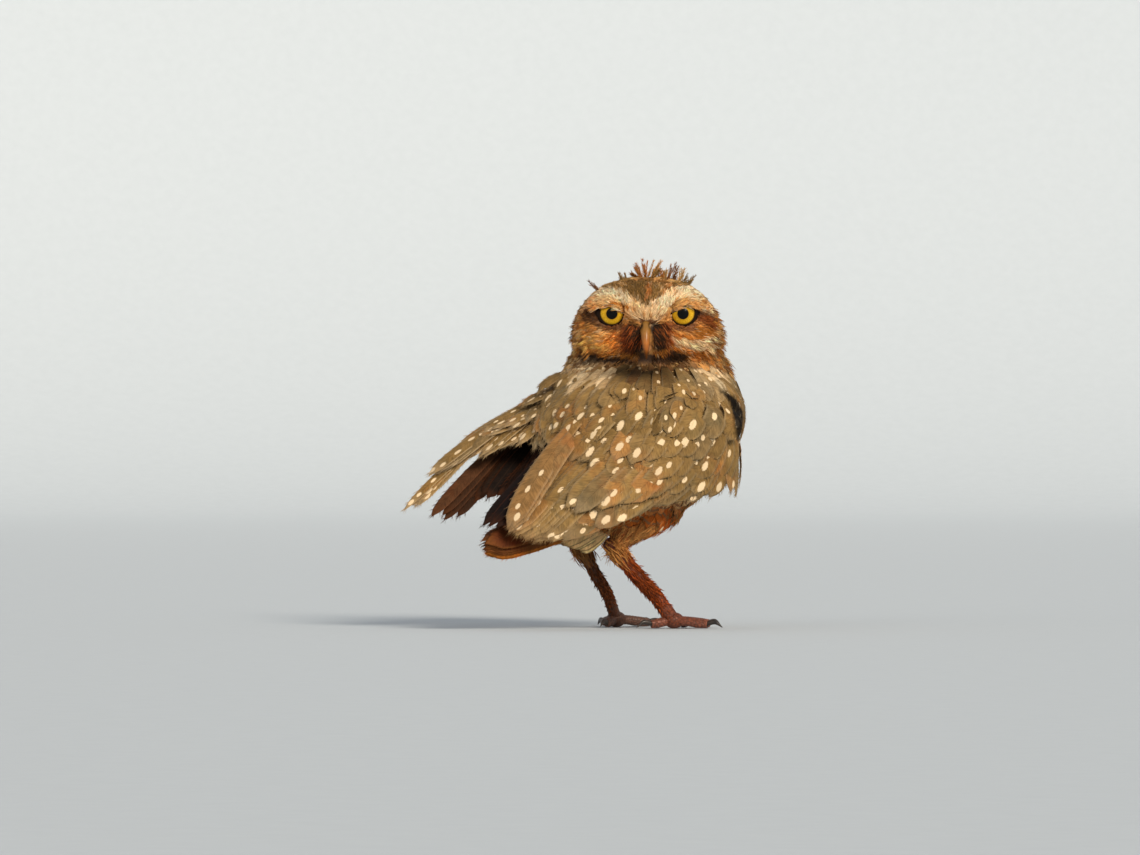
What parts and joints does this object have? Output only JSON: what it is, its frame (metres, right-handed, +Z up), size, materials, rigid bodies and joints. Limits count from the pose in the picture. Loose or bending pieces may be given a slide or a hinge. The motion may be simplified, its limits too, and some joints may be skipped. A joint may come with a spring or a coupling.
{
  "type": "burrowing owl model",
  "caption": "Life-size standing burrowing owl with its head turned back over the right shoulder, one wing folded and the other hanging loose.",
  "frame": {"origin": "on the floor, under the middle of the whole bird", "axes": "+Z up; the body faces -Y, so its left side is +X; the face looks towards -X and +Y"},
  "size_m": [0.1216, 0.1504, 0.1781],
  "materials": {
    "mantle": "matte olive-brown small feathers with cream spots",
    "face": "soft matte feathers, buff-white brows, rufous cheeks",
    "flight_feathers": "smooth matte feathers, brown with paler bars",
    "underparts": "fluffy matte feathers, buff with brown spots",
    "leg": "short rough brown feathers and bare scaly toes",
    "eye": "wet gloss, yellow iris with a black pupil",
    "horn": "satin horn",
    "claw": "satin dark horn"
  },
  "bodies": {
    "root": {"bill_lower": "horn", "bill_upper": "horn", "claw_left_hind": "claw", "claw_left_inner": "claw", "claw_left_middle": "claw", "claw_left_outer": "claw", "claw_right_hind": "claw", "claw_right_inner": "claw", "claw_right_middle": "claw", "claw_right_outer": "claw", "eye_left": "eye", "eye_right": "eye", "foot_left": "leg", "foot_right": "leg", "head": "face", "neck": "mantle", "tail": "flight_feathers", "tarsus_left": "leg", "tarsus_right": "leg", "thigh_left": "underparts", "thigh_right": "underparts", "torso": "underparts", "wing_left": "flight_feathers", "wing_right": "flight_feathers"}
  },
  "joints": []
}
